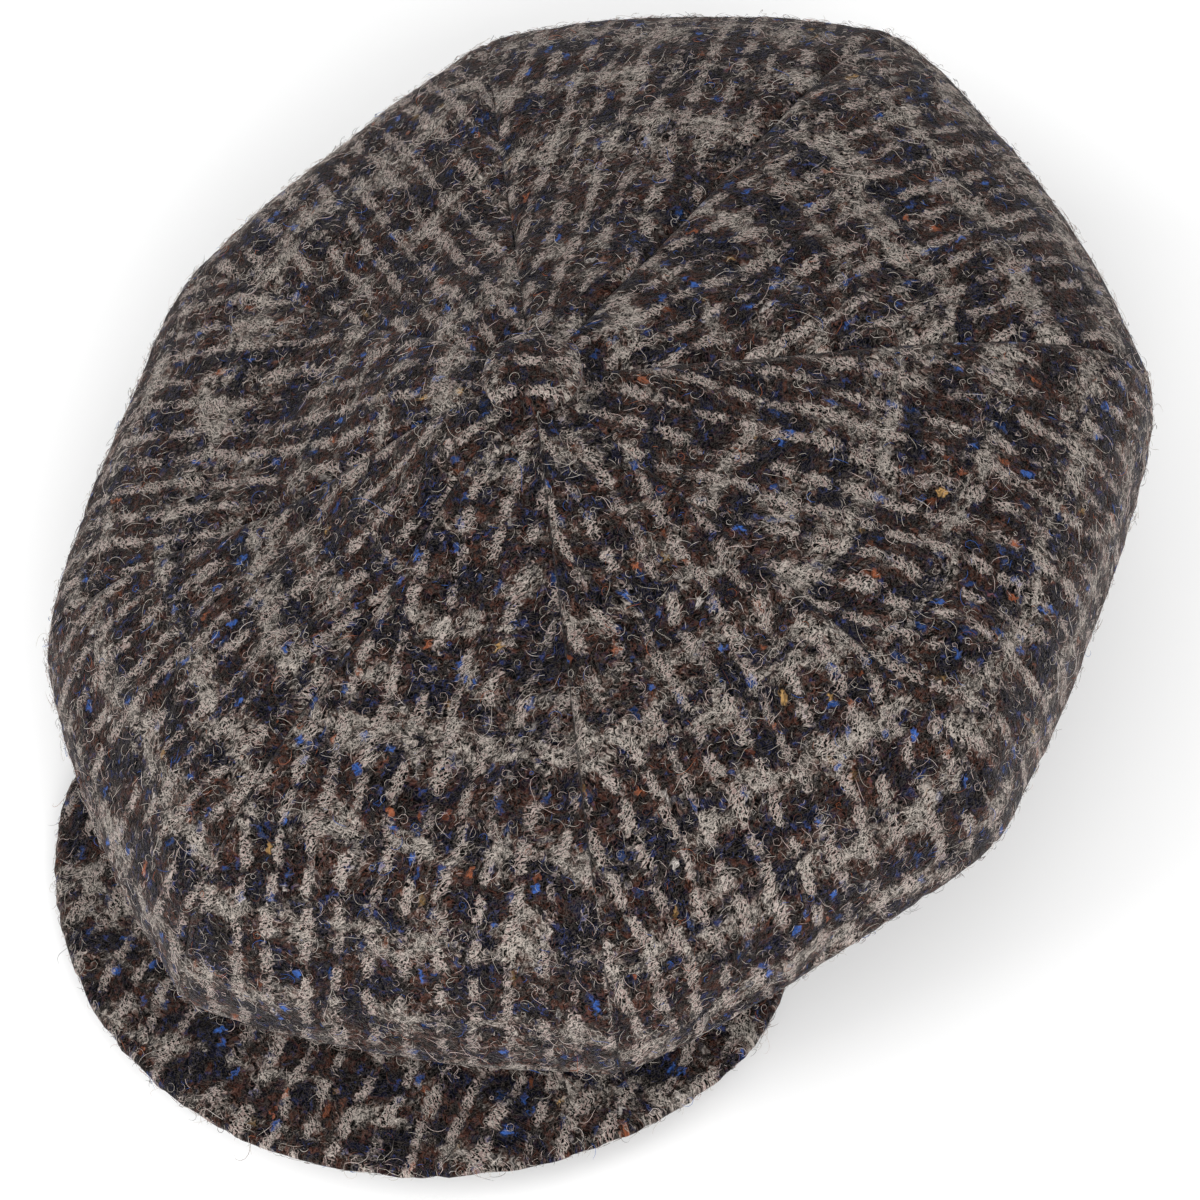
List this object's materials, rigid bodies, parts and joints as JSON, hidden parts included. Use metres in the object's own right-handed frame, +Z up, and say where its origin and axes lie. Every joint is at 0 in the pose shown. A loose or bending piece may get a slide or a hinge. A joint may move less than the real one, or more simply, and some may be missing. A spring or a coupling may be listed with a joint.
{
  "type": "flat cap",
  "caption": "Soft eight-panel tweed flat cap with a covered button on top, a wide angular crown and a short curved peak.",
  "frame": {"origin": "under the middle of the cap's box, on the surface that it rests on", "axes": "+Z up, the peak points to -Y, +X is on the right of someone who looks at the cap from the front"},
  "size_m": [0.2562, 0.33, 0.1063],
  "materials": {
    "crown_cloth": "brushed wool tweed, small broken check",
    "button_cloth": "brushed wool tweed",
    "peak_cloth": "brushed wool tweed over a board",
    "band_cloth": "plain wool tweed strip"
  },
  "bodies": {
    "root": {"panel_1": "crown_cloth", "panel_2": "crown_cloth", "panel_3": "crown_cloth", "panel_4": "crown_cloth", "panel_5": "crown_cloth", "panel_6": "crown_cloth", "panel_7": "crown_cloth", "panel_8": "crown_cloth", "button": "button_cloth", "peak": "peak_cloth", "headband": "band_cloth"}
  },
  "joints": []
}
